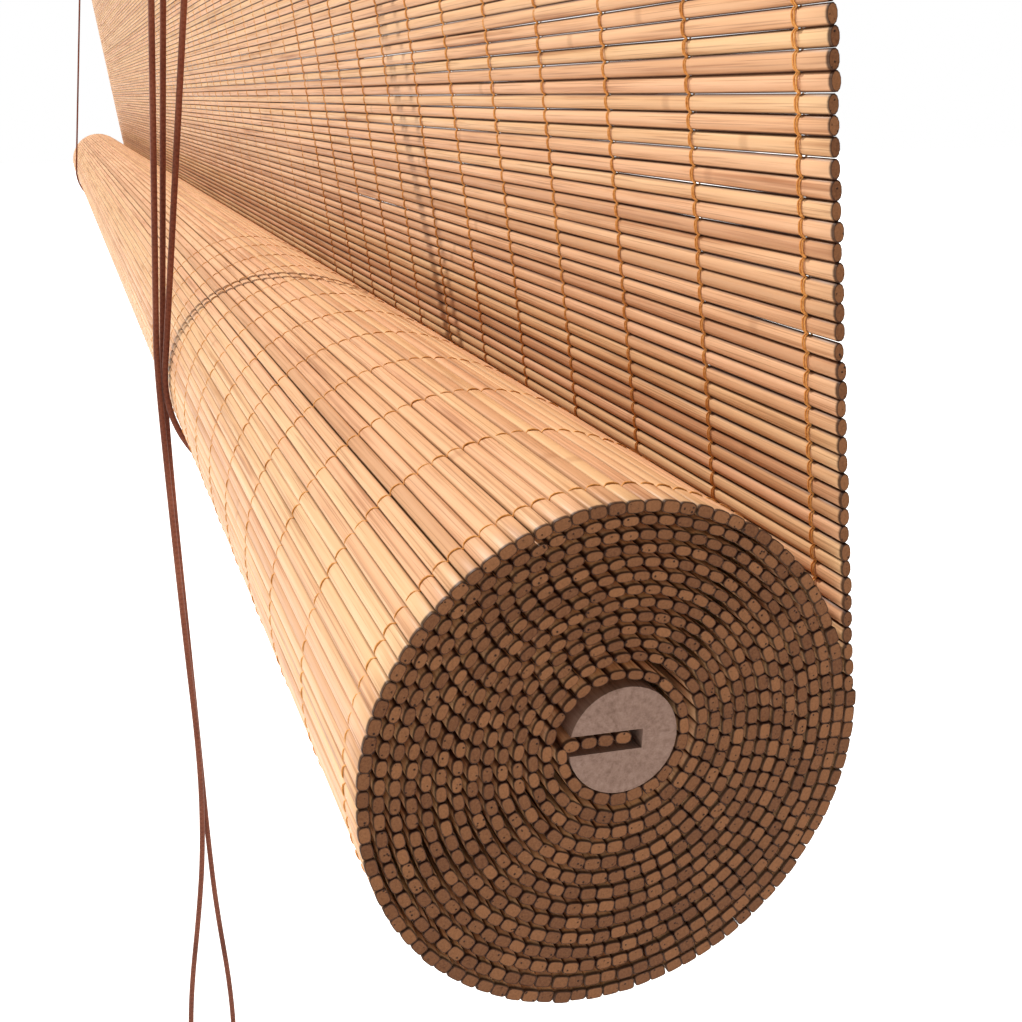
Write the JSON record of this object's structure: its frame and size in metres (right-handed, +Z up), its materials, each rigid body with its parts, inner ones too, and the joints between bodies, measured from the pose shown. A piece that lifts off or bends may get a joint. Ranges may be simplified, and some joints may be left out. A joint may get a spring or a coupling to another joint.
{
  "type": "bamboo roll up blind",
  "caption": "Roll-up window blind of stitched bamboo slats, drawn up to a thick roll on a slotted rod under a wooden head rail, with lift cords, cord lock and pull cords.",
  "frame": {"origin": "midway between the centres of the two hanging holes", "axes": "+X along the slats towards the pull cords, -Y towards the room, +Z up"},
  "size_m": [1.83, 0.1083, 0.782],
  "materials": {
    "bamboo": "bare split bamboo, satin skin",
    "core_wood": "bare, weathered",
    "rail_wood": "planed, clear satin",
    "stitching": "twisted cotton thread",
    "cord": "braided cord",
    "steel": "zinc plated",
    "brass": "knurled",
    "lock_plastic": "moulded, fine matt",
    "wheel_plastic": "turned nylon"
  },
  "bodies": {
    "blind": {"head_rail": "rail_wood", "mat_batten": "rail_wood", "batten_nails": "steel", "hanger_plate_left": "steel", "hanger_plate_right": "steel", "hanger_screws": "steel", "anchor_bracket_left": "steel", "anchor_bracket_right": "steel", "anchor_screws": "steel", "pulley_block_left": "lock_plastic", "pulley_pin_left": "steel", "cord_lock_body": "lock_plastic", "lock_pin_back": "steel", "lock_pin_front": "steel", "block_screws": "steel", "hanging_slats": "bamboo", "warp_threads": "stitching", "rolled_mat": "bamboo", "core_rod": "core_wood", "lift_cord_left": "cord", "lift_cord_right": "cord", "pull_cord_front": "cord", "pull_hank_front": "cord", "pull_tail_front": "cord", "pull_cord_back": "cord", "pull_hank_back": "cord", "pull_tail_back": "cord", "hank_tie": "cord", "pull_knob": "rail_wood", "knob_knot": "cord"},
    "left_wheel": {"pulley_wheel_left": "wheel_plastic"},
    "back_wheel": {"lock_wheel_back": "wheel_plastic"},
    "front_wheel": {"lock_wheel_front": "wheel_plastic"},
    "roller": {"lock_roller": "brass"}
  },
  "joints": [
    {"name": "left_wheel_turn", "type": "hinge", "parent": "blind", "child": "left_wheel", "pos_m": [-0.6318, -0.00957, -0.06699], "axis": [0.0076, 0.9924, -0.1231], "continuous": true},
    {"name": "back_wheel_turn", "type": "hinge", "parent": "blind", "child": "back_wheel", "pos_m": [0.62379, -0.01893, -0.06702], "axis": [0.0077, 0.9958, -0.0912], "continuous": true},
    {"name": "front_wheel_turn", "type": "hinge", "parent": "blind", "child": "front_wheel", "pos_m": [0.641, -0.0159, -0.067], "axis": [1, 0, 0], "continuous": true},
    {"name": "roller_lift", "type": "slide", "parent": "blind", "child": "roller", "axis": [0, 0.0806, 0.9967], "range_m": [0, 0.005]}
  ]
}
